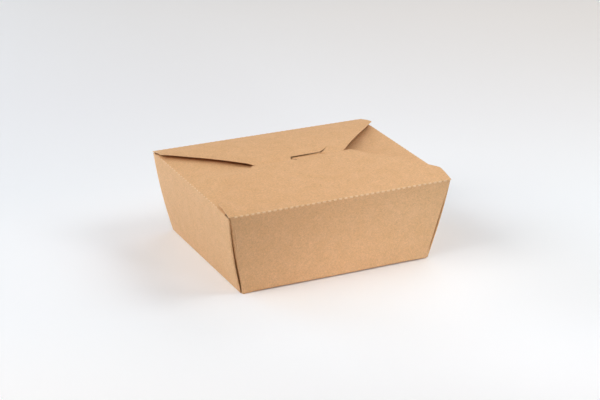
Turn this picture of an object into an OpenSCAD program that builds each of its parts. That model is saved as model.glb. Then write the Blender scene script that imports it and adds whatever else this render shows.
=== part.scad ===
// Folded kraft takeaway box with inside web corners and a tongue lock on its lid.
// The blank is one sheet of board. The front flap is its own solid because it swings
// on its perforated fold; every other panel belongs to the carton.
// X runs along the long sides, Y across, Z up. The origin is the centre of the base.

/* [Box] */
// Length over the top folds
top_l = 174; // [166:1:200]
// Width over the top folds
top_w = 140; // [134:1:160]
// Length of the base
base_l = 150; // [130:1:160]
// Width of the base
base_w = 124; // [108:1:128]
// Height from the table to the top folds
box_h = 62; // [45:1:90]

/* [Board] */
// Thickness of the board
card = 0.45; // [0.35:0.05:0.5]
// Outer radius of the folds round the base
fold_r = 0.6; // [0.55:0.05:0.8]

/* [Perforated folds] */
// Distance from one cut to the next
perf_pitch = 4.2; // [3:0.1:6]
// Length of one cut
perf_cut = 2.1; // [1.2:0.1:2.4]
// Radius of the board's rolled edge at a cut
bead_r = 0.45; // [0.35:0.05:0.5]
// Play round the moving edge
perf_gap = 0.1; // [0.08:0.01:0.15]
// Width of the cuts along the folds that stay shut
perf_w = 0.35; // [0.2:0.05:0.6]
// Plain fold left at each end of a row of cuts
perf_end = 3; // [2:0.5:8]

/* [Web corners] */
// Opening of the pocket at the top of each corner
pocket_gap = 0.8; // [0.4:0.1:1.2]
// How far the webs stop short of the top folds
web_drop = 1.4; // [1:0.1:4]

/* [Long flaps] */
// Rise of the front flap over the top folds
front_rise = 5.4; // [4.8:0.1:5.6]
// Rise of the back flap over the top folds
back_rise = 5.9; // [5.7:0.1:7]
// Distance from the middle of the box to the crest of each flap
crest_off = 12; // [10:1:16]
// Distance from a fold to the tip of its ear
ear_run = 17; // [12:0.5:24]
// How far the ears stand out past the ends of the fold
ear_out = 0.3; // [0:0.1:1.5]
// Length of the front flap's free edge
front_edge_l = 79; // [70:1:90]
// Width of the back flap at the middle of the box
back_edge_l = 69; // [64:1:74]
// How far the front flap passes the middle
front_over = 0.3; // [0:0.1:1]
// How far the back flap passes the middle, under the front flap
back_under = 2.5; // [1.5:0.1:4]
// Where the back flap's lip starts to bend down, from the middle
lip_run = 10; // [8:0.5:11]
// Slope of the lip
lip_angle = 7.7; // [7.4:0.1:9]

/* [Tongue lock] */
// Width of the tongue at its tip
tongue_w = 24; // [14:1:30]
// Place of the tongue's middle along the free edge
tongue_x = 8.2; // [-4:0.1:9]
// Reach of the tongue past the free edge
tongue_reach = 5.3; // [4:0.1:6]
// Slope of the tongue
tongue_angle = 8; // [7:0.5:9]
// Gap round the tongue in its slit
slit_gap = 0.6; // [0.4:0.1:1]
// Length of the slit's curved end
slit_tail_l = 6.6; // [4:0.1:8]
// How far the curved end turns back
slit_tail_h = 6; // [3:0.1:7]
// How far the curved end overlaps the straight part of the slit
slit_overlap = 1; // [0.6:0.1:1.5]
// Width of the curved end at its start
slit_tail_w0 = 0.9; // [0.6:0.1:1.2]
// Width of the curved end at its tip
slit_tail_w1 = 0.4; // [0.3:0.1:0.6]
// Bend of the curved end, where 1 is straight
slit_tail_bend = 1.4; // [1:0.1:2]
// Length of the relief cut at the tongue's root
relief_l = 2.8; // [1.5:0.1:4]
// Width of the relief cut
relief_w = 0.6; // [0.4:0.1:1]
// Size of the bevel on the leading corner of the tongue
tongue_bevel = 1; // [0.5:0.1:2]
// Size of the bevel on the corner beside the slit's curved end
tongue_tail_bevel = 1.6; // [0.5:0.1:2]

/* [Side flaps] */
// Length of each side flap
side_l = 49; // [36:1:49]
// Rise of the side flaps over the top folds
side_rise = 2.6; // [2:0.1:4.2]
// Distance from a side fold to the crest of its flap
side_crest = 45; // [44:1:60]
// Fold left bare at each end of a side flap
side_inset = 4.5; // [4.5:0.5:8]
// How much each edge of a side flap slants in for every millimetre of length
side_taper = 1; // [0.95:0.05:1.1]
// Size of the bevels on the free corners of the side flaps
corner_bevel = 3; // [1:0.5:5]

/* [Hidden] */
kraft = [0.82, 0.65, 0.47];
kraft_lid = [0.85, 0.68, 0.49];
smooth = 720;
rod_sides = 12;
tall = 40;
lean_long = atan((top_w - base_w) / 2 / box_h);
lean_end = atan((top_l - base_l) / 2 / box_h);
slant_long = box_h / cos(lean_long);
slant_end = box_h / cos(lean_end);
fold_z = box_h - card / 2;
fold_rod = 0.6 * card;
// Radius of the rolled edges of the wall, which sit a little inside those of the flap
wall_bead_r = bead_r - 0.05;
// Length of a rolled edge of the wall, and how much narrower the neck of each roll is
wall_cut = perf_pitch - perf_cut - 2 * perf_gap;
neck_inset = 0.3;
back_fold_l = top_l - 8 * card;
side_fold_l = top_w - 2 * side_inset;
// Distance of the long folds and of the end folds from the middle of the box
long_fold_y = top_w / 2 - card / 2;
end_fold_x = top_l / 2 - card / 2;
// Angle of the web between the two walls in the flat blank, and of its diagonal crease
edge_tilt_end = atan((top_w - base_w) / 2 / slant_end);
edge_tilt_long = atan((top_l - base_l) / 2 / slant_long);
web_half = (90 - edge_tilt_end - edge_tilt_long) / 2;
web_slope = web_half - edge_tilt_end;
web_top = slant_end - web_drop;
web_reach = web_top * tan(web_slope);
pocket_tilt = asin(pocket_gap / (slant_end * sin(web_half)));
front_reach = long_fold_y + front_over;
crest_run = long_fold_y - crest_off;
// Overlap of the tongue with the flap it grows from
tongue_root = 1;
slit_y = front_over + tongue_reach + slit_gap / 2;
slit_x0 = tongue_x - tongue_w / 2 - slit_gap;
slit_x1 = tongue_x + tongue_w / 2 + slit_gap;
// Strip of the lip that passes under the tongue: where it starts, and its slope
bridge_y = -0.3 * back_under;
bridge_angle = tongue_angle - 1;

// Radius of an arch that rises by rise over run
function arch_r(run, rise) = (run * run + rise * rise) / (2 * rise);

// Height of that arch over its fold at distance y
function arch_z(run, rise, y) =
    rise - arch_r(run, rise) + sqrt(pow(arch_r(run, rise), 2) - pow(y - run, 2));

// Height of the back flap's lip at distance y past the middle of the box
function lip_z(y) = fold_z + card / 2 + arch_z(crest_run, back_rise, long_fold_y - lip_run)
    - (lip_run - y) * tan(lip_angle);

// How many cuts fit along a fold of that length
function cuts(length) = floor((length - 2 * perf_end) / perf_pitch);

// Round rod from p to q, used along every fold
module rod(p, q, r) {
    d = q - p;
    translate(p)
        rotate([0, acos(d[2] / norm(d)), atan2(d[1], d[0])])
            cylinder(h = norm(d), r = r, $fn = rod_sides);
}

// Frame of one wall: x along it, y up its slope, z out of its face
module on_wall(side) {
    half = side % 2 == 0 ? base_w / 2 : base_l / 2;
    lean = side % 2 == 0 ? lean_long : lean_end;
    rotate([0, 0, 90 * side])
        translate([0, -half, 0])
            rotate([90 + lean, 0, 0])
                children();
}

// Frame of one top fold: x along it, y towards the middle of the box, z up
module on_fold(side) {
    half = side % 2 == 0 ? long_fold_y : end_fold_x;
    rotate([0, 0, 90 * side])
        translate([0, -half, fold_z])
            children();
}

// Row of rolled edges along a top fold
module beads(count, length, r) {
    for (i = [0 : count - 1])
        translate([(i - (count - 1) / 2) * perf_pitch - length / 2, 0, 0])
            rotate([0, 90, 0])
                cylinder(h = length, r = r, $fn = rod_sides);
}

// Row of rectangles in plan: the necks that join rolled edges to their panel, or plain cuts
module necks(count, length, depth) {
    for (i = [0 : count - 1])
        translate([(i - (count - 1) / 2) * perf_pitch - length / 2, 0])
            square([length, depth]);
}

// Board in the shape of the child outline, its outer face at z = 0
module board() {
    translate([0, 0, -card])
        linear_extrude(card)
            children();
}

// Section of an arched sheet from its fold, y along x and height along y
module arch_section(run, rise, from, to) {
    r = arch_r(run, rise);
    intersection() {
        translate([run, rise + card / 2 - r])
            difference() {
                circle(r = r, $fn = smooth);
                circle(r = r - card, $fn = smooth);
            }
        translate([from, -2 * card])
            square([to - from, rise + 4 * card]);
    }
}

// Sheet with the child section, as wide as the box and more
module sweep_section() {
    rotate([90, 0, 90])
        linear_extrude(2 * top_l, center = true)
            children();
}

// Outline of a long flap in plan, with ears beside its fold
module long_outline(edge_half, reach) {
    fold_half = top_l / 2 - 2 * card;
    ear_x = top_l / 2 + ear_out;
    polygon([[-fold_half, 0], [-ear_x, ear_run], [-edge_half, reach],
             [edge_half, reach], [ear_x, ear_run], [fold_half, 0]]);
}

// Front or back wall, with both rounded edges that turn in behind the end walls
module long_wall(side, top_cut) {
    inset = 2 * card + fold_r;
    low = base_l / 2 - inset;
    high = top_l / 2 - inset - pocket_gap;
    top = slant_long - card / 2;
    on_wall(side) {
        board()
            difference() {
                polygon([[-low, fold_r], [low, fold_r], [high, top], [-high, top]]);
                if (top_cut > 0)
                    translate([-top_l, top - top_cut])
                        square([2 * top_l, 2 * top_cut]);
            }
        for (s = [-1, 1])
            rod([s * low, fold_r, -fold_r], [s * high, top - max(top_cut, web_drop), -fold_r], fold_r);
    }
}

// End wall with its own webs folded flat against the inside
module end_wall(side) {
    low = base_w / 2 - card;
    high = top_w / 2 - card;
    top = slant_end - card / 2;
    on_wall(side) {
        board()
            polygon([[-low, fold_r], [low, fold_r], [high, top], [-high, top]]);
        for (s = [0, 1])
            mirror([s, 0, 0])
                web();
    }
}

// One web: rolled outer edge, layer glued to the wall, diagonal fold, layer that turns to the long wall
module web() {
    foot = [base_w / 2 - card, 0];
    edge = [base_w / 2 - card + web_top * tan(edge_tilt_end), web_top];
    tip = [base_w / 2 - card - web_reach, web_top];
    rod([foot[0], foot[1], -card], [edge[0], edge[1], -card], card);
    translate([0, 0, -card])
        board()
            polygon([foot, edge, tip]);
    rod([foot[0], foot[1], -2 * card], [tip[0], tip[1], -2 * card], card);
    translate([foot[0], foot[1], -2 * card])
        rotate([0, 0, 90 + web_slope])
            rotate([pocket_tilt, 0, 0])
                rotate([0, 0, -90 - web_slope])
                    board()
                        polygon([[0, 0], edge - foot, tip - foot]);
}

// Base panel with its four rounded folds
module base_panel() {
    x = base_l / 2 - fold_r;
    y = base_w / 2 - fold_r;
    translate([0, 0, card])
        board()
            square([2 * x, 2 * y], center = true);
    for (s = [-1, 1]) {
        rod([-x, s * y, fold_r], [x, s * y, fold_r], fold_r);
        rod([s * x, -y, fold_r], [s * x, y, fold_r], fold_r);
    }
}

// Rounded fold whose flap stays where it is
module fixed_fold(side, length) {
    on_fold(side)
        rod([-length / 2, 0, 0], [length / 2, 0, 0], fold_rod);
}

// Cuts along a fold that stays shut, in plan
module cut_row(length) {
    translate([0, fold_rod])
        necks(cuts(length), perf_cut, perf_w);
}

// Side flap, arched up under the long flaps
module side_flap(side) {
    half = side_fold_l / 2;
    tip = half - side_taper * side_l;
    on_fold(side)
        intersection() {
            sweep_section()
                arch_section(side_crest, side_rise, 0, side_l);
            translate([0, 0, -tall / 2])
                linear_extrude(tall)
                    difference() {
                        polygon([[-half, 0], [half, 0], [tip + corner_bevel, side_l - corner_bevel],
                                 [tip, side_l], [-tip, side_l], [-tip - corner_bevel, side_l - corner_bevel]]);
                        cut_row(side_fold_l);
                    }
        }
}

// Slit that takes the tongue, in plan: its straight part and the tail that curves back
module slit() {
    steps = 8;
    x0 = slit_x1 - slit_overlap;
    y0 = slit_y - slit_tail_w0;
    translate([slit_x0, bridge_y])
        square([slit_x1 - slit_x0, slit_y - bridge_y]);
    polygon([
        for (t = [0 : 1 / steps : 1])
            [x0 + slit_tail_l * t, y0 + slit_tail_h * pow(t, slit_tail_bend)],
        for (t = [1 : -1 / steps : 0])
            [x0 + slit_tail_l * t, y0 + slit_tail_h * pow(t, slit_tail_bend)
                + slit_tail_w0 + (slit_tail_w1 - slit_tail_w0) * t]]);
}

// Back flap: arched panel, lip bent down under the front flap, slit, and the strip before the slit
module back_flap() {
    reach = long_fold_y + back_under;
    slope = (top_l / 2 + ear_out - back_edge_l / 2) / (long_fold_y - ear_run);
    lip_start = long_fold_y - lip_run;
    lip_top = arch_z(crest_run, back_rise, lip_start) + card / 2;
    difference() {
        on_fold(2)
            intersection() {
                sweep_section() {
                    arch_section(crest_run, back_rise, 0, lip_start);
                    translate([lip_start, lip_top])
                        rotate(-lip_angle)
                            translate([-card, -card])
                                square([lip_run + 2 * back_under, card]);
                }
                translate([0, 0, -tall / 2])
                    linear_extrude(tall)
                        difference() {
                            long_outline(back_edge_l / 2 - slope * back_under, reach);
                            cut_row(back_fold_l);
                        }
            }
        translate([0, 0, box_h - tall / 2])
            linear_extrude(tall)
                slit();
    }
    translate([0, bridge_y - card, lip_z(bridge_y)])
        rotate([-bridge_angle, 0, 0])
            board()
                translate([slit_x0 + slit_gap / 2, 0])
                    square([slit_x1 - slit_x0 - slit_gap, slit_y - bridge_y - slit_gap]);
}

// Front flap: arched panel, tongue, and rolled edges that turn between those of the wall
module flap() {
    count = cuts(top_l);
    clear = bead_r + perf_gap;
    difference() {
        on_fold(0) {
            intersection() {
                sweep_section()
                    arch_section(crest_run, front_rise, 0, front_reach);
                translate([0, 0, -tall / 2])
                    linear_extrude(tall) {
                        difference() {
                            long_outline(front_edge_l / 2, front_reach);
                            translate([-top_l, -clear])
                                square([2 * top_l, 2 * clear]);
                        }
                        necks(count, perf_cut - neck_inset, 2 * clear);
                    }
            }
            beads(count, perf_cut, bead_r);
            translate([0, front_reach - tongue_root,
                       arch_z(crest_run, front_rise, front_reach - tongue_root) + card / 2])
                rotate([-tongue_angle, 0, 0])
                    board()
                        tongue();
        }
        translate([slit_x0, front_over + relief_w / 2, box_h - tall / 2])
            linear_extrude(tall)
                square([slit_gap + relief_l, relief_w]);
    }
}

// Outline of the tongue, from just behind the free edge to its tip
module tongue() {
    l = tongue_x - tongue_w / 2;
    r = tongue_x + tongue_w / 2;
    tip = tongue_reach + tongue_root;
    polygon([[l, 0], [l, tip - tongue_bevel], [l + tongue_bevel, tip],
             [r - tongue_tail_bevel, tip], [r, tip - tongue_tail_bevel / 2], [r, 0]]);
}

// Everything but the front flap, folded from one blank
module carton() {
    clear = bead_r + perf_gap;
    count = cuts(top_l);
    color(kraft) {
        base_panel();
        long_wall(0, clear);
        long_wall(2, 0);
        end_wall(1);
        end_wall(3);
        on_wall(0)
            board()
                translate([0, slant_long - card / 2 - 2 * clear])
                    necks(count - 1, wall_cut - neck_inset, 2 * clear);
        on_fold(0)
            beads(count - 1, wall_cut, wall_bead_r);
        fixed_fold(1, side_fold_l);
        fixed_fold(2, back_fold_l);
        fixed_fold(3, side_fold_l);
        side_flap(1);
        side_flap(3);
        back_flap();
    }
}

module front_flap() {
    color(kraft_lid)
        flap();
}

carton();
front_flap();
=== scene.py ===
from math import atan, cos, exp, log, pi, radians, sin, sqrt, tan

import bpy
from mathutils import Matrix, Vector


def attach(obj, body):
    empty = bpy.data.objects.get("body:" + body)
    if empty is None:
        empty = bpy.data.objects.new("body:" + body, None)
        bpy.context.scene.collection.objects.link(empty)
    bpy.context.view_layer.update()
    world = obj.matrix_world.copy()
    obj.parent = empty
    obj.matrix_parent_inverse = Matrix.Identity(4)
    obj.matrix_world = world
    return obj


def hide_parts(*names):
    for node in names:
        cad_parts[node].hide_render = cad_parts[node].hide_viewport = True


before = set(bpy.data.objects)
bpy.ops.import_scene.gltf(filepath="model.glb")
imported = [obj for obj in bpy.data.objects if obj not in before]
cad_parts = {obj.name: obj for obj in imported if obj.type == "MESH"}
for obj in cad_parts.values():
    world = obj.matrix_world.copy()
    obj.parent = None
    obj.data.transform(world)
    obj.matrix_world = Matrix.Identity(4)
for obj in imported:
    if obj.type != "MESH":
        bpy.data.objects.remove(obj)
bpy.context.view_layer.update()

mm = 0.001


# small helpers

def toLinear(hexColour):
    parts = [int(hexColour[i:i + 2], 16) / 255 for i in (1, 3, 5)]
    return [c / 12.92 if c <= 0.04045 else ((c + 0.055) / 1.055) ** 2.4 for c in parts] + [1.0]


def addNode(tree, kind, inputs=None, **settings):
    node = tree.nodes.new(kind)
    for name, value in settings.items():
        setattr(node, name, value)
    for socket, value in (inputs or {}).items():
        if isinstance(value, bpy.types.NodeSocket):
            tree.links.new(value, node.inputs[socket])
        else:
            node.inputs[socket].default_value = value
    return node


def newMaterial(name):
    material = bpy.data.materials.new(name)
    material.use_nodes = True
    return material, material.node_tree, material.node_tree.nodes["Principled BSDF"]


def setRamp(node, stops):
    ramp = node.color_ramp
    while len(ramp.elements) < len(stops):
        ramp.elements.new(0.5)
    for element, (place, hexColour) in zip(ramp.elements, stops):
        element.position = place
        element.color = toLinear(hexColour)
    return node.outputs["Color"]


# kraft board: unbleached fibres, machine made and uncoated, so it is matt with a cloudy, speckled face

kraftLook = {
    "darkCloud": "#D8A977",
    "paleCloud": "#DEB080",
    "cloudSize": 9.0,  # mm, the loose clouds of the pulp
    "fibreSize": 1.1,  # mm, real fibres are finer, drawn as coarse as they show
    "fibreContrast": 0.19,
    "fleckSize": 2.4,  # mm
    "fleckRange": (0.66, 0.74),  # only the peaks of the noise show as flecks
    "fleckStrength": 0.35,
    "fleckColour": "#B98A5E",
    "fibreRelief": 0.12,  # mm, how high the fibres stand
    "reliefStrength": 0.35,
    "roughness": 0.72,
    "specular": 0.5,
}


def makeKraft(name, look):
    material, tree, shader = newMaterial(name)
    place = addNode(tree, "ShaderNodeTexCoord").outputs["Object"]
    clouds = addNode(tree, "ShaderNodeTexNoise", {
        "Vector": place, "Scale": 1 / (look["cloudSize"] * mm), "Detail": 3.0, "Roughness": 0.6})
    fibres = addNode(tree, "ShaderNodeTexNoise", {
        "Vector": place, "Scale": 1 / (look["fibreSize"] * mm), "Detail": 3.0, "Roughness": 0.65,
        "Distortion": 0.8})
    flecks = addNode(tree, "ShaderNodeTexNoise", {
        "Vector": place, "Scale": 1 / (look["fleckSize"] * mm), "Detail": 1.0, "Distortion": 1.5})
    ramp = addNode(tree, "ShaderNodeValToRGB", {"Fac": clouds.outputs["Fac"]})
    base = setRamp(ramp, [(0.3, look["darkCloud"]), (0.7, look["paleCloud"])])
    speckle = addNode(tree, "ShaderNodeMapRange", {
        "Value": fibres.outputs["Fac"], "From Min": 0.25, "From Max": 0.75,
        "To Min": 1 - look["fibreContrast"], "To Max": 1 + look["fibreContrast"]})
    speckled = addNode(tree, "ShaderNodeVectorMath", {0: base, 1: speckle.outputs["Result"]},
                       operation="MULTIPLY")
    fleckMask = addNode(tree, "ShaderNodeMapRange", {
        "Value": flecks.outputs["Fac"], "From Min": look["fleckRange"][0],
        "From Max": look["fleckRange"][1], "To Max": look["fleckStrength"]})
    colour = addNode(tree, "ShaderNodeMix", {
        "Factor": fleckMask.outputs["Result"], 6: speckled.outputs["Vector"],
        7: toLinear(look["fleckColour"])}, data_type="RGBA")
    bump = addNode(tree, "ShaderNodeBump", {
        "Height": fibres.outputs["Fac"], "Strength": look["reliefStrength"],
        "Distance": look["fibreRelief"] * mm})
    tree.links.new(colour.outputs[2], shader.inputs["Base Color"])
    tree.links.new(bump.outputs["Normal"], shader.inputs["Normal"])
    shader.inputs["Roughness"].default_value = look["roughness"]
    shader.inputs["Specular IOR Level"].default_value = look["specular"]
    return material


kraftBoard = makeKraft("kraftBoard", kraftLook)


# raw cut edge of the board: torn and sheared fibres, unpressed, so it is paler and rougher

cutEdgeLook = dict(kraftLook, darkCloud="#E2B98B", paleCloud="#ECC79C", fibreContrast=0.1, roughness=0.95)
cutEdge = makeKraft("rawCutEdge", cutEdgeLook)

# the perforated folds: fibres burst open where the board is cut and bent; this palest finish is partly that
# raw fibre and partly a painted highlight, the light that catches the short cut edges

burstFoldAndHighlightLook = dict(cutEdgeLook, darkCloud="#EAC79C", paleCloud="#F2D3AC", fibreContrast=0.08)
burstFoldAndHighlight = makeKraft("burstFoldFibresAndHighlight", burstFoldAndHighlightLook)
print("board and cut edge mixed")


# the folded sheet: sizes in mm, as the flat blank was cut and creased

boxSize = {
    "topHalf": (87.0, 70.0),
    "baseHalf": (75.0, 62.0),
    "height": 62.0,
    "board": 0.45,
    "bottomFold": 0.7,  # outer radius of the folds round the base
    "frontFold": 1.9,  # the front one is rounder, see footOut
    "rolledEdge": 0.55,  # outer radius of the end walls' rolled corners
    "turnedEdge": 1.0,  # outer radius where the long walls turn in
    "baseInset": 1.9,  # the walls' sheets run on under the base panel's rim
}
leanLong = atan((boxSize["topHalf"][1] - boxSize["baseHalf"][1]) / boxSize["height"])
leanEnd = atan((boxSize["topHalf"][0] - boxSize["baseHalf"][0]) / boxSize["height"])
longFold = boxSize["topHalf"][1] - boxSize["board"] / 2  # middle of the board at the long folds
endFold = boxSize["topHalf"][0] - boxSize["board"] / 2  # and at the end folds


def blendBetween(low, high, value):
    t = min(max((value - low) / (high - low), 0.0), 1.0)  # also falls, where low is the higher one
    return t * t * (3 - 2 * t)


def between(stops, value):
    for (a, p), (b, q) in zip(stops, stops[1:]):
        if value <= b:
            return p + (q - p) * max(value - a, 0) / (b - a)
    return stops[-1][1]


def spread(start, stop, count):
    return [start + (stop - start) * i / count for i in range(count + 1)]


def clearSelection():
    if bpy.context.mode != "OBJECT":
        bpy.ops.object.mode_set(mode="OBJECT")
    bpy.ops.object.select_all(action="DESELECT")


def bendSheet(name, columns, rows, place):
    # a flat grid, each crossing moved to where the folded board has it
    clearSelection()
    bpy.ops.mesh.primitive_grid_add(x_subdivisions=len(columns) - 1, y_subdivisions=len(rows) - 1, size=2)
    sheet = bpy.context.active_object
    sheet.name = name
    for vertex in sheet.data.vertices:
        column = columns[round((vertex.co.x + 1) / 2 * (len(columns) - 1))]
        row = rows[round((vertex.co.y + 1) / 2 * (len(rows) - 1))]
        vertex.co = Vector(place(column, row)) * mm
    return sheet


def thicken(sheet, materials):
    # board grows behind the drawn face, and its cut rim gets the raw edge's material
    clearSelection()
    sheet.select_set(True)
    bpy.context.view_layer.objects.active = sheet
    for material in materials:
        sheet.data.materials.append(material)
    bpy.ops.object.modifier_add(type="SOLIDIFY")
    solid = sheet.modifiers[-1]
    solid.thickness = boxSize["board"] * mm
    solid.offset = -1
    solid.use_even_offset = True
    solid.material_offset_rim = 1
    bpy.ops.object.modifier_apply(modifier=solid.name)
    for vertex in sheet.data.vertices:
        vertex.co.z = max(vertex.co.z, 0.0)  # the folded corners rest on the floor, not under it
    return sheet


def joinParts(name, parts):
    clearSelection()
    for part in parts:
        part.select_set(True)
    bpy.context.view_layer.objects.active = parts[0]
    bpy.ops.object.join()
    joined = bpy.context.active_object
    joined.name = name
    bpy.ops.object.shade_smooth_by_angle(angle=radians(35))
    return joined


def onWall(side, x, y, z):
    half, lean = ((boxSize["baseHalf"][1], leanLong), (boxSize["baseHalf"][0], leanEnd))[side % 2]
    px, py = x, -half - y * sin(lean) - z * cos(lean)
    pz = y * cos(lean) - z * sin(lean)
    turn = radians(90 * side)
    return px * cos(turn) - py * sin(turn), px * sin(turn) + py * cos(turn), pz


# walls: each one is a bent sheet with its round bottom fold and its turned edges

slantLong = boxSize["height"] / cos(leanLong)
slantEnd = boxSize["height"] / cos(leanEnd)
tiltEnd = atan((boxSize["topHalf"][1] - boxSize["baseHalf"][1]) / slantEnd)
tiltLong = atan((boxSize["topHalf"][0] - boxSize["baseHalf"][0]) / slantLong)
# width of a web for each mm of height
webSpread = tan((pi / 2 - tiltEnd - tiltLong) / 2 - tiltEnd) + tan(tiltEnd)

wallLook = {
    # how far each corner's pocket opens, at each height
    "slitLeft": [(0, 0.4), (3, 1.4), (10, 2.3), (25, 2.4), (42, 2.3), (52, 1.9), (62, 0.8)],
    "slitRight": [(0, 0.5), (5, 1.7), (10, 2.1), (25, 2.1), (40, 1.8), (50, 1.4), (62, 0.6)],
    "slitBack": [(0, 0.6), (62, 0.6)],
    "endBulge": 1.4,  # the end walls swell outward at half height
    # how far behind the front and back the rolled edges sit, at each height
    "rollSetBack": [(0, 0.4), (15, 0.9), (62, 0.9)],
    # height and depth of the rounding at the foot, left and right
    "cornerRound": {-1: (2.0, 0.4), 1: (3.5, 2.2)},
    "cornerDip": 0.6,  # the left fold is pressed down beside the front flap's ear
    # how far the front wall dips in along its length
    "frontDish": [(-75, 2.4), (-64, 4.0), (-40, 4.0), (0, 2.4), (40, 1.0), (75, 0.3)],
    # how far its foot stands out: with bottomLift and frontFold this is a guess, chosen so that the
    # dark line under the wall falls where the photograph has it
    "footOut": [(-75, 2.7), (0, 2.7), (75, 1.7)],
    "bottomLift": 0.9,  # the front bottom fold bows up between its corners
    "stopsShort": (0.775, 0.7, 0.66, 0.7),  # how far the front, right, back and left end below their folds
    "turnIn": (122, 2.4),  # degrees that a long wall's edge turns in, and the run after the turn
    "turnAlong": (1.0, -32, 3.0),  # then the radius, degrees and run back along the end wall
    "webHeight": 0.978,  # share of its wall's height that a web keeps as it turns in
    "webFootSlope": 0.02,  # the same at the foot, for each mm round the bottom fold
    "webWidth": 0.96,  # share of the corner that a web fills
    "webFoot": 0.3,  # width of a web at the floor
    "webStandOff": 1.3,  # a web's inner layer stands further off than its pocket shows
    "webCrease": 0.08,  # inner radius of a web's own fold
}


def followPath(path, part, share):
    # walks along turns and straight runs, (radius, angle, run) each: gives distance out and depth
    x = z = heading = 0.0
    for index, (radius, angle, run) in enumerate(path):
        turning = angle * (min(share, 1) if index == part else 1)
        way = 1 if angle > 0 else -1
        x += way * radius * (sin(heading + turning) - sin(heading))
        z -= way * radius * (cos(heading) - cos(heading + turning))
        heading += turning
        if index == part:
            length = run * max(share - 1, 0)
            return x + length * cos(heading), z - length * sin(heading)
        x += run * cos(heading)
        z -= run * sin(heading)
    return x, z


def bottomProfile(v, lean, radius):
    # v is measured along the board: above 0 on the wall, below 0 round the bottom fold
    turn = pi / 2 - lean
    start = radius * tan(turn / 2)
    if v >= 0:
        return start + v, 0.0
    angle = min(-v / radius, turn)
    rest = -v - angle * radius
    y = start - radius * sin(angle) - rest * cos(angle)
    return y, -radius * (1 - cos(angle)) - rest * sin(angle)


def wallRows(slant, lean, top, radius):
    start = radius * tan((pi / 2 - lean) / 2)
    arc = radius * (pi / 2 - lean)
    return [-arc - 2.0] + [-arc * (1 - i / 6) for i in range(6)] + spread(0, slant - start - top, 22)


def bulgeAt(height):
    t = min(max(height / boxSize["height"], 0), 1)
    return wallLook["endBulge"] * 4 * t * (1 - t)  # 4 brings the curve's peak to 1


def slitAt(side, front, height):
    name = "slitBack" if not front else "slitRight" if side > 0 else "slitLeft"
    return between(wallLook[name], height)


def footLift(x):
    return wallLook["bottomLift"] * max(1 - (x / boxSize["baseHalf"][0]) ** 8, 0)


# shares of a round edge where the sheet has a line of points, up to 1; 2 is the end of the run after it
turnShares = (0.17, 0.34, 0.5, 0.67, 0.84, 1.0, 2.0)


def makeLongWall(side):
    front = side == 0
    turned = boxSize["turnedEdge"]
    fold = boxSize["frontFold" if front else "bottomFold"]
    turnAngle, turnRun = wallLook["turnIn"]
    alongRadius, alongAngle, alongRun = wallLook["turnAlong"]
    path = [(turned, radians(turnAngle), turnRun), (alongRadius, radians(alongAngle), alongRun)]
    beyond = [(0, share) for share in turnShares] + [(1, share) for share in (0.5, 1.0, 2.0)]
    columns = [(-1, part) for part in reversed(beyond)] + spread(-1, 1, 40) + [(1, part) for part in beyond]

    def place(column, v):
        y, z = bottomProfile(v, leanLong, fold)
        height = max(y, 0) * cos(leanLong)
        sign = column[0] if isinstance(column, tuple) else column
        opening = slitAt(sign, front, height) - bulgeAt(height)
        foot, rounding = wallLook["cornerRound"][-1 if sign < 0 else 1]
        opening += rounding * max(1 - max(y, 0) / foot, 0) ** 2
        flat = boxSize["baseHalf"][0] - opening - turned + y * tan(tiltLong)
        if isinstance(column, tuple):
            sign, (part, share) = column
            out, depth = followPath(path, part, share)
            x, z = sign * (flat + out), z + depth
        else:
            x = column * flat
        t = min(max(height / boxSize["height"], 0), 1)
        if front:
            z -= between(wallLook["frontDish"], x) * 6.75 * t * t * (1 - t)  # 6.75 brings the peak to 1
            z += between(wallLook["footOut"], x) * (1 - t) ** 10
        spot = Vector(onWall(side, x, y, z))
        if front:
            spot.z += footLift(x) * (1 - t) ** 6
        return spot

    rows = wallRows(slantLong, leanLong, wallLook["stopsShort"][side], fold)
    return bendSheet("longWall", columns, rows, place)


def foldDip(spot):
    return wallLook["cornerDip"] * blendBetween(-46, -58, spot[1]) if spot[0] < 0 else 0.0


def pressDown(spot):
    spot.z -= foldDip(spot) * max(spot.z / boxSize["height"], 0) ** 8
    return spot


def makeEndWall(side):
    rolled = boxSize["rolledEdge"]
    fold = boxSize["bottomFold"]
    webFoot, webHeight = wallLook["webFoot"], wallLook["webHeight"]
    beyond = [(0, share) for share in turnShares]
    beyond += [(1, share) for share in (0.25, 0.5, 0.75, 1.0, 1.5, 2.0)]
    columns = [(-1, part) for part in reversed(beyond)] + spread(-1, 1, 24) + [(1, part) for part in beyond]

    def place(column, v):
        y, z = bottomProfile(v, leanEnd, fold)
        z += bulgeAt(y * cos(leanEnd))
        back = boxSize["baseHalf"][1] - rolled - between(wallLook["rollSetBack"], y * cos(leanEnd))
        flat = back + y * tan(tiltEnd)
        if not isinstance(column, tuple):
            return pressDown(Vector(onWall(side, column * flat, y, z)))
        sign, (part, share) = column
        webY = webHeight * y
        if v < 0:
            webY = bottomProfile(0, leanEnd, fold)[0] * (webHeight + wallLook["webFootSlope"] * v)
        mix = min(share, 1) if part == 0 else 1
        y, z = y + (webY - y) * mix, z + (bulgeAt(webY * cos(leanEnd)) - z) * mix
        wide = webFoot + webSpread * max(y, 0) * wallLook["webWidth"]
        front = sign * (side - 2) > 0
        opening = slitAt(2 - side, front, y * cos(leanEnd)) + wallLook["webStandOff"]
        path = [(rolled, pi, wide), (wallLook["webCrease"], -pi + atan(opening / wide), wide - webFoot)]
        out, depth = followPath(path, part, share)
        flat = back + y * tan(tiltEnd)
        return pressDown(Vector(onWall(side, sign * (flat + out), y, z + depth)))

    rows = wallRows(slantEnd, leanEnd, wallLook["stopsShort"][side], fold)
    return bendSheet("endWall", columns, rows, place)


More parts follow.
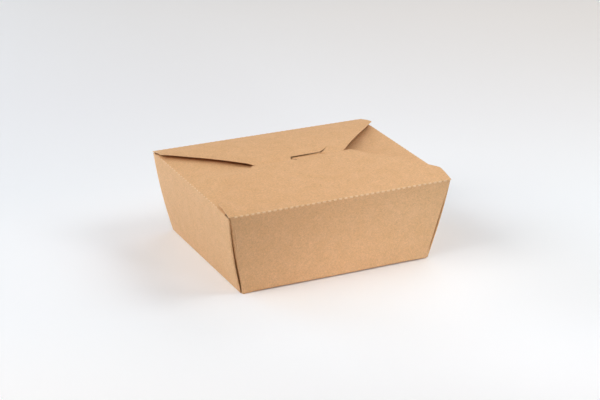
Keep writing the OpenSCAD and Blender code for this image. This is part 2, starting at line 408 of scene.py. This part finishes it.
def makeBase():
    x, y = (half - boxSize["baseInset"] for half in boxSize["baseHalf"])

    def place(u, v):
        front = max(v, 0) ** 8
        return u * x, -v * y - between(wallLook["footOut"], u * x) * front, footLift(u * x) * front

    return bendSheet("basePanel", spread(-1, 1, 16), spread(-1, 1, 16), place)


# lid: two long flaps that meet in the middle, over two side flaps

flapLook = {
    "frontRise": 5.4,
    "backRise": 5.9,
    "crest": 57.775,  # from the long folds
    "foldHalf": 87.0,
    "earTip": (87.3, 17.0),  # half width and distance from the fold, here and for both free edges
    "frontEdge": (39.5, 70.075),
    "backEdge": (34.4, 69.775),
    "edgeSoftness": 0.3,  # how gently the ear's tip turns into the slant
    "frontShift": 2.0,  # the free edges lie a little to the right of the middle
    "backShift": 0.3,
    "shiftRun": 53.0,  # the shift grows from the ear's tip over this distance
    "earLift": 0.6,
    "frontLeftEar": 0.7,  # this one stands up more than the others
    "freeCorner": 0.7,  # the front flap's right free corner stands up
    "lipDrop": 1.15,
    "lipReach": 2.5,
    "lipBend": (9.0, 0.09),  # where the lip bends down: y at the middle, and its slant
    "underTongue": 1.3,  # the lip is pressed down where the tongue dips in
    "sideRise": {-1: 2.6, 1: -1.8},  # the right one is pressed down into the box
    "sideCrest": 46.0,  # from the end folds
    "sideGap": 0.5,  # between the left side flap and the front flap that covers it
    "sideHalf": 65.5,
    "sideNotch": (3.5, 12.0),  # cut back at the fold, so the corners stay open under the ears
    "sideRound": 52,  # from here on the side flaps' ends are rounded
    "sideReach": 55,
    "slopeAtLong": 0.2,  # radians, the slope of the flaps where they leave their folds
    "slopeAtEnd": 0.11,
}


def archHeight(run, rise, distance):
    radius = (run * run + rise * rise) / (2 * rise)
    return rise - radius + sqrt(radius * radius - (distance - run) ** 2)


def longFlapHalf(distance, edge):
    # half the width of a long flap: out to the tips of its ears, then in along the slant
    earX, earRun = flapLook["earTip"]
    toTip = flapLook["foldHalf"] + (earX - flapLook["foldHalf"]) * distance / earRun
    slanted = earX - (earX - edge[0]) * (distance - earRun) / (edge[1] - earRun)
    # the smaller of the two, with a soft change between them
    soft, zero = flapLook["edgeSoftness"], flapLook["foldHalf"]
    return zero - soft * log(exp((zero - toTip) / soft) + exp((zero - slanted) / soft))


def frontTop(x, y):
    distance = y + longFold
    rise = archHeight(flapLook["crest"], flapLook["frontRise"], distance)
    ear = flapLook["earLift"] * blendBetween(70, 87, abs(x)) * blendBetween(0, 12, distance)
    ear += flapLook["frontLeftEar"] * blendBetween(-76, -87, x) * blendBetween(0, 9, distance)
    corner = flapLook["freeCorner"] * blendBetween(30, 39, x) * blendBetween(-9, 0, y)
    return boxSize["height"] + rise + ear + corner


def backTop(x, y):
    distance = longFold - y
    rise = archHeight(flapLook["crest"], flapLook["backRise"], distance)
    ear = flapLook["earLift"] * blendBetween(70, 87, abs(x)) * blendBetween(0, 12, distance)
    bend = flapLook["lipBend"][0] + flapLook["lipBend"][1] * x
    drop = 0.0
    if y < bend + 1:
        slope = flapLook["lipDrop"] / (bend - 0.3)
        past = bend - y
        drop = slope * (past if past > 1 else (past + 1) ** 2 / 4)
        rise = archHeight(flapLook["crest"], flapLook["backRise"], min(distance, flapLook["crest"]))
    pressed = blendBetween(-6.5, -3.8, x) * (1 - blendBetween(20.5, 24, x))
    pressed *= 1 - blendBetween(5.2, 5.5, y)
    return boxSize["height"] + rise + ear - drop - flapLook["underTongue"] * pressed


def foldOver(distance, lean, slope, radius=0.6):
    # the round top fold, from -1 on the wall to 0 on the flap: gives distance in and height
    up = pi / 2 + lean
    turn = up - slope
    start = radius * tan(turn / 2)
    angle = turn * (1 + distance)
    x = -start * cos(up) + radius * (sin(angle) * cos(up) + (1 - cos(angle)) * sin(up))
    z = -start * sin(up) + radius * (sin(angle) * sin(up) - (1 - cos(angle)) * cos(up))
    return x, z


def makeLongFlap(name, side, edge, reach, top):
    # side is -1 for the front flap and 1 for the back one
    turnRows = spread(-1, -0.2, 4) if side > 0 else []
    turnRows += spread(0.1 if side < 0 else 0.8, 14, 7) + spread(15, 20, 5) + spread(22, 54, 16)
    rows = turnRows + spread(55, reach, round(reach - 55))
    columns = spread(-1, 1, 60)

    def place(u, distance):
        if distance < 0:
            inward, height = foldOver(distance, leanLong, flapLook["slopeAtLong"])
            y = side * (boxSize["topHalf"][1] - inward)
            return -side * u * flapLook["foldHalf"], y, boxSize["height"] + height
        half = longFlapHalf(distance, edge)
        shift = flapLook["frontShift"] if side < 0 else flapLook["backShift"]
        x = -side * u * half + shift * max(distance - flapLook["earTip"][1], 0) / flapLook["shiftRun"]
        y = side * (longFold - distance)
        return x, y, top(x, y)

    return bendSheet(name, columns, rows, place)


def sideTop(side, distance, y):
    rise = flapLook["sideRise"][side] * (1 - (1 - distance / flapLook["sideCrest"]) ** 2)
    height = boxSize["height"] + rise
    if side > 0:
        return height
    # the left flap lies close against the front flap that covers it
    close = frontTop(distance - endFold, y) - boxSize["board"] - flapLook["sideGap"]
    return height + (close - height) * blendBetween(10, -10, y) * blendBetween(2, 22, distance)


def makeSideFlap(side):
    depth, length = flapLook["sideNotch"]
    rounded, reach = flapLook["sideRound"], flapLook["sideReach"]
    rows = spread(-1, -0.2, 4) + spread(0.5, rounded, 26) + spread(rounded, reach, reach - rounded)[1:]

    def place(u, distance):
        if distance < 0:
            inward, height = foldOver(distance, leanEnd, flapLook["slopeAtEnd"])
            x, y = side * (boxSize["topHalf"][0] - inward), side * u * (flapLook["sideHalf"] - depth)
            return x, y, boxSize["height"] + height - foldDip((x, y))
        half = flapLook["sideHalf"] - distance - depth * max(1 - distance / length, 0)
        half -= max(distance - rounded, 0) ** 2 / 3
        x, y = side * (endFold - distance), side * u * half
        return x, y, sideTop(side, distance, y) - foldDip((x, y)) * max(1 - distance / 14, 0)

    return bendSheet("sideFlap", spread(-1, 1, 24), rows, place)


def cutOutline(name, outline, low, high):
    # a flat outline drawn up into a cutter
    clearSelection()
    bpy.ops.mesh.primitive_circle_add(vertices=len(outline), radius=1, fill_type="NGON")
    cutter = bpy.context.active_object
    cutter.name = name
    for vertex, (x, y) in zip(cutter.data.vertices, outline):
        vertex.co = Vector((x, y, low)) * mm
    bpy.ops.object.mode_set(mode="EDIT")
    bpy.ops.mesh.select_all(action="SELECT")
    bpy.ops.mesh.extrude_region_move(TRANSFORM_OT_translate={"value": (0, 0, (high - low) * mm)})
    bpy.ops.mesh.select_all(action="SELECT")
    bpy.ops.mesh.normals_make_consistent(inside=False)
    bpy.ops.object.mode_set(mode="OBJECT")
    return cutter


def cutAway(target, cutter, materials):
    for material in materials:
        cutter.data.materials.append(material)
    for face in cutter.data.polygons:
        face.material_index = 1
    clearSelection()
    target.select_set(True)
    bpy.context.view_layer.objects.active = target
    bpy.ops.object.modifier_add(type="BOOLEAN")
    cut = target.modifiers[-1]
    cut.operation = "DIFFERENCE"
    cut.solver = "EXACT"
    cut.object = cutter
    bpy.ops.object.modifier_apply(modifier=cut.name)
    bpy.data.objects.remove(cutter)


# tongue lock: the slit in the back flap's lip, and the tongue that dips into it

lockLook = {
    "slit": [(-3.6, 5.3), (-1.8, 5.0), (8, 5.1), (17.6, 5.3), (19.0, 5.5), (20.4, 5.3), (22.6, 6.6),
             (24.6, 8.6), (27.2, 11.2), (27.0, 11.5), (24.3, 9.0), (22.4, 7.8), (20.2, 6.7), (19.0, 5.8),
             (17.6, 6.0), (8, 5.9), (-1.4, 5.8), (-3.0, 6.0)],
    "hook": [(-4.0, 5.8), (-4.9, 4.6), (-5.1, 2.9), (-4.8, 0.9), (-4.4, -0.4), (-3.8, 0.4), (-4.2, 2.9),
             (-3.9, 4.2), (-3.2, 5.4)],
    "relief": [(-4.7, -1.3), (-2.6, -1.3), (-2.0, -0.5), (-2.6, 0.2), (-3.4, 0.9), (-4.7, 0.9)],
    "tongueSides": (-3.2, 20.0),
    "tongueSlope": 15.0,
    "tongueReach": 5.3,
    "tongueRound": 0.9,  # how much narrower the tongue is at its tip, each side
    "cutHeights": (60, 72),  # the cutters reach from below the flaps to above them
}


def makeTongue():
    left, right = lockLook["tongueSides"]
    start = flapLook["frontEdge"][1] - longFold  # the front flap's free edge
    slope = tan(radians(lockLook["tongueSlope"]))

    def place(u, v):
        distance = v * lockLook["tongueReach"]
        half = (right - left) / 2 - lockLook["tongueRound"] * v ** 4
        drop = slope * (distance ** 2 / 2 if distance < 1 else distance - 0.5)
        x = (left + right) / 2 + u * half
        return x, start + distance, frontTop(x, start) - drop

    return bendSheet("tongue", spread(-1, 1, 12), spread(0, 1, 10), place)


# perforated folds: the board is cut through every few millimetres, and each short cut edge stands out as a
# pale roll, the teeth and side nicks partly through a painted highlight

foldLook = {
    "pitch": 4.2,
    "cutLength": 2.1,
    "toothRadius": 0.6,
    "wallRollRadius": 0.3,
    "nickRadius": 0.3,
    "rollEdge": 0.1,  # bevel at a roll's ends
    "toothCount": 40,
    "rollGap": 0.2,  # what a wall roll is shorter than the board left between two cuts
    "toothSpot": (-69.9, 61.7),  # y and z of the row
    "wallRollSpot": (-69.7, 61.6),
    "backNickSpot": (69.75, 61.8),
    "sideNickSpot": (86.7, 61.75),  # x and z
    "sideNickRun": (-50, 54),
    "sideNicks": 25,
}


def makeRoll(name, length, radius, material):
    clearSelection()
    bpy.ops.mesh.primitive_cylinder_add(vertices=12, radius=radius * mm, depth=length * mm)
    roll = bpy.context.active_object
    roll.name = name
    bpy.ops.object.mode_set(mode="EDIT")
    bpy.ops.mesh.select_all(action="SELECT")
    bpy.ops.transform.rotate(value=radians(90), orient_axis="Y", center_override=(0, 0, 0))
    bpy.ops.mesh.bevel(offset=foldLook["rollEdge"] * mm, segments=1, affect="EDGES")
    bpy.ops.object.mode_set(mode="OBJECT")
    roll.data.materials.append(material)
    return roll


def repeatAlong(first, start, end, count):
    # copies at an even pitch between two points, the pattern's axis laid along the line
    start, end = Vector(start), Vector(end)
    turn = Vector((1, 0, 0)).rotation_difference(end - start).to_matrix().to_4x4()
    made = []
    for index in range(count):
        copy = first.copy()
        copy.data = first.data.copy()
        bpy.context.scene.collection.objects.link(copy)
        spot = start.lerp(end, (index + 0.5) / count) * mm
        copy.data.transform(Matrix.Translation(spot) @ turn)
        made.append(copy)
    bpy.data.objects.remove(first)
    return made


def rowOfRolls(roll, spot, count):
    # a row at the cuts' pitch along a long fold
    half = foldLook["pitch"] * count / 2
    return repeatAlong(roll, (-half, *spot), (half, *spot), count)


# the carton, everything that stays with the base

boardFaces = [kraftBoard, cutEdge]
cartonParts = [thicken(part, boardFaces) for part in (
    makeLongWall(0), makeLongWall(2), makeEndWall(1), makeEndWall(3), makeBase(),
    makeSideFlap(-1), makeSideFlap(1))]
print("walls and side flaps folded")

backReach = longFold + flapLook["lipReach"]
backFlap = thicken(makeLongFlap("backFlap", 1, flapLook["backEdge"], backReach, backTop), boardFaces)
cutAway(backFlap, cutOutline("slitCutter", lockLook["slit"], *lockLook["cutHeights"]), boardFaces)
cutAway(backFlap, cutOutline("hookCutter", lockLook["hook"], *lockLook["cutHeights"]), boardFaces)
cartonParts.append(backFlap)

rollLength = foldLook["pitch"] - foldLook["cutLength"] - foldLook["rollGap"]
wallRoll = makeRoll("wallRoll", rollLength, foldLook["wallRollRadius"], kraftBoard)
cartonParts += rowOfRolls(wallRoll, foldLook["wallRollSpot"], foldLook["toothCount"] - 1)
nickX, nickZ = foldLook["sideNickSpot"]
nickStart, nickEnd = foldLook["sideNickRun"]
for side in (-1, 1):
    # a side nick's pale finish is partly a painted highlight, where light catches the cut
    sideNick = makeRoll("sideNick", foldLook["cutLength"], foldLook["nickRadius"], burstFoldAndHighlight)
    cartonParts += repeatAlong(sideNick, (side * nickX, nickStart, nickZ), (side * nickX, nickEnd, nickZ),
                               foldLook["sideNicks"])
backNick = makeRoll("backNick", foldLook["cutLength"], foldLook["nickRadius"], cutEdge)
cartonParts += rowOfRolls(backNick, foldLook["backNickSpot"], foldLook["toothCount"])
carton = joinParts("foldedCarton", cartonParts)
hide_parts("carton")
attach(carton, "carton")
print("carton joined")

# the front flap with its tongue, which swings on the perforated fold

frontReach = flapLook["frontEdge"][1]
frontFlap = thicken(makeLongFlap("frontFlap", -1, flapLook["frontEdge"], frontReach, frontTop), boardFaces)
cutAway(frontFlap, cutOutline("reliefCutter", lockLook["relief"], *lockLook["cutHeights"]), boardFaces)
# the teeth's pale finish is partly a painted highlight, where light catches the cut edges
tooth = makeRoll("foldTooth", foldLook["cutLength"], foldLook["toothRadius"], burstFoldAndHighlight)
teeth = rowOfRolls(tooth, foldLook["toothSpot"], foldLook["toothCount"])
lid = joinParts("lockingFlap", [frontFlap, thicken(makeTongue(), boardFaces)] + teeth)
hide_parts("front_flap")
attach(lid, "lid")
print("front flap joined")


# studio: paper floor, seven soft boxes, two narrow spots low in front, the photograph's viewing angle

studio = {
    "floorSize": 8.0,
    "floorTurn": 26.2,  # degrees, so that the tones run from the camera to the back
    "floorRun": (-1.0, 1.0),  # m, from the camera's side to the back
    # along that run: grey near the camera, where its bounce would wash the front wall out
    # further back, the small steps in tone and tint are painted light and shade that set the floor's
    # brightness along the run
    "floorTonesWithPaintedShade": [(0.0, "#D0D0D2"), (0.26, "#D0D0D2"), (0.37, "#FFFFFF"), (0.43, "#FAFDFF"),
                   (0.55, "#F6F9FB"), (0.65, "#F8F8F8"), (0.8, "#FFFCF7")],
    "world": 0.02,
    "lamps": {
        "backLow": {"place": (-0.71, 1.06, 0.26), "size": 0.8, "power": 10.8, "tint": "#D8EAFF"},
        "leftHigh": {"place": (-1.02, 0.02, 0.83), "size": 0.8, "power": 7.3, "tint": "#FFFAF4"},
        "rightSide": {"place": (1.02, 0.07, 0.83), "size": 0.8, "power": 1.8, "tint": "#FFFCEA"},
        "rightBack": {"place": (0.74, 0.71, 0.83), "size": 0.8, "power": 3.7, "tint": "#FCF9FF"},
        "nearLeft": {"place": (-0.37, -0.25, 0.57), "size": 0.4, "power": 0.8, "tint": "#F7FAFF"},
        "nearRight": {"place": (0.4, -0.2, 0.57), "size": 0.4, "power": 1.9, "tint": "#F9FCFF"},
        "overhead": {"place": (-0.02, -0.03, 1.03), "size": 0.6, "power": 1.1, "tint": "#FFECE0"},
        "frontSnoot": {"place": (0.0, -0.94, 0.16), "size": 0.08, "power": 9.9, "tint": "#DCF1FF",
                       "beam": 14, "aim": (0.085, -0.066, 0.03)},
        "footSnoot": {"place": (0.38, -0.86, 0.16), "size": 0.08, "power": 15.8, "tint": "#FFF4F9",
                      "beam": 14, "aim": (0.02, -0.12, 0.0)},
    },
}


def addLamp(name, place, size, power, tint, beam=None, aim=(0, 0, 0.03)):
    # beam is the cone of a spot in degrees, left out for a soft box
    lamp = bpy.data.lights.new(name, "SPOT" if beam else "AREA")
    if beam:
        lamp.spot_size = radians(beam)
        lamp.spot_blend = 1.0
        lamp.shadow_soft_size = size
    else:
        lamp.shape = "SQUARE"
        lamp.size = size
    lamp.energy = power
    lamp.color = toLinear(tint)[:3]
    holder = bpy.data.objects.new(name, lamp)
    bpy.context.scene.collection.objects.link(holder)
    holder.location = place
    holder.rotation_euler = (Vector(aim) - Vector(place)).to_track_quat("-Z", "Y").to_euler()


def makeFloor():
    bpy.ops.mesh.primitive_plane_add(size=studio["floorSize"], location=(0, 0, 0))
    floor = bpy.context.active_object
    floor.name = "studioFloor"
    material, tree, shader = newMaterial("whitePaperFloor")
    place = addNode(tree, "ShaderNodeTexCoord").outputs["Object"]
    turned = addNode(tree, "ShaderNodeMapping", {
        "Vector": place, "Rotation": (0, 0, radians(studio["floorTurn"]))})
    split = addNode(tree, "ShaderNodeSeparateXYZ", {"Vector": turned.outputs["Vector"]})
    fade = addNode(tree, "ShaderNodeMapRange", {
        "Value": split.outputs["Y"], "From Min": studio["floorRun"][0],
        "From Max": studio["floorRun"][1]})
    ramp = addNode(tree, "ShaderNodeValToRGB", {"Fac": fade.outputs["Result"]})
    # the ramp carries painted light and shade along the floor
    colour = setRamp(ramp, studio["floorTonesWithPaintedShade"])
    tree.links.new(colour, shader.inputs["Base Color"])
    shader.inputs["Roughness"].default_value = 0.9
    floor.data.materials.append(material)


makeFloor()
for name, lamp in studio["lamps"].items():
    addLamp(name, **lamp)
world = bpy.data.worlds.new("softWorld")
world.use_nodes = True
world.node_tree.nodes["Background"].inputs["Color"].default_value = (1, 1, 1, 1)
world.node_tree.nodes["Background"].inputs["Strength"].default_value = studio["world"]
bpy.context.scene.world = world
bpy.context.scene.view_settings.view_transform = "Standard"
print("studio lit")


viewpoint = {
    "azimuth": -26.2,
    "elevation": 22.26,
    "roll": 0.76,
    "target": (1.18 * mm, 0.79 * mm, 33.99 * mm),
    "distance": 1.37,
    "lens": 111.97,
}


def addCamera():
    az, el, roll = (radians(viewpoint[k]) for k in ("azimuth", "elevation", "roll"))
    back = Vector((sin(az) * cos(el), -cos(az) * cos(el), sin(el)))
    right = Vector((cos(az), sin(az), 0))
    up = back.cross(right)
    right, up = cos(roll) * right + sin(roll) * up, cos(roll) * up - sin(roll) * right
    place = Vector(viewpoint["target"]) + viewpoint["distance"] * back
    data = bpy.data.cameras.new("photoView")
    data.lens = viewpoint["lens"]
    camera = bpy.data.objects.new("photoView", data)
    bpy.context.scene.collection.objects.link(camera)
    camera.matrix_world = Matrix((right, up, back)).transposed().to_4x4()
    camera.matrix_world.translation = place
    bpy.context.scene.camera = camera


addCamera()
print("camera placed")

bpy.context.view_layer.update()
